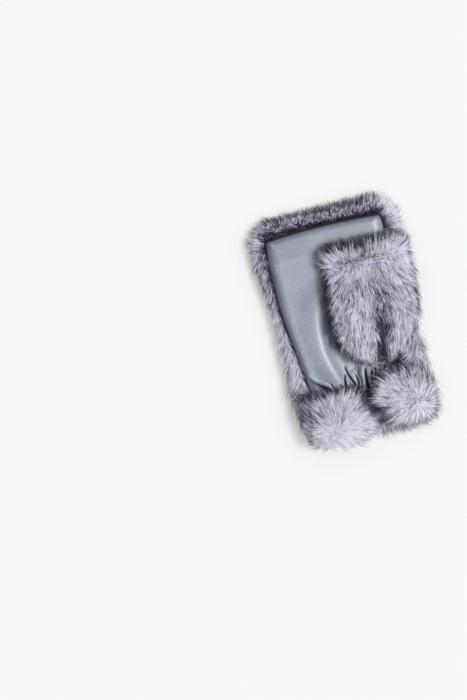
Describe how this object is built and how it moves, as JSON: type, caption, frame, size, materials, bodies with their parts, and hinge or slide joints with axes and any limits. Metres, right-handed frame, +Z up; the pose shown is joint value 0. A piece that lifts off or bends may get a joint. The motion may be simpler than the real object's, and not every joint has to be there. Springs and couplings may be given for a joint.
{
  "type": "fur fingerless glove",
  "caption": "Fingerless glove with a furry back and thumb sleeve, a smooth leather palm gathered at the wrist, and a fur cuff split on the palm side.",
  "frame": {"origin": "centre of the glove's bounding box in plan, on the surface that it lies on", "axes": "+Y from the wrist towards the finger opening, +X towards the thumb's side, +Z up out of the palm"},
  "size_m": [0.1296, 0.1988, 0.0476],
  "materials": {
    "fur": "short lavender-grey fur, pale at the roots and dark at the tips",
    "leather": "satin slate blue-grey, fine grain"
  },
  "bodies": {
    "root": {"back_fur": "fur", "palm_leather": "leather", "thumb_fur": "fur", "thumb_edge_fur": "fur", "cuff_fur": "fur"}
  },
  "joints": []
}
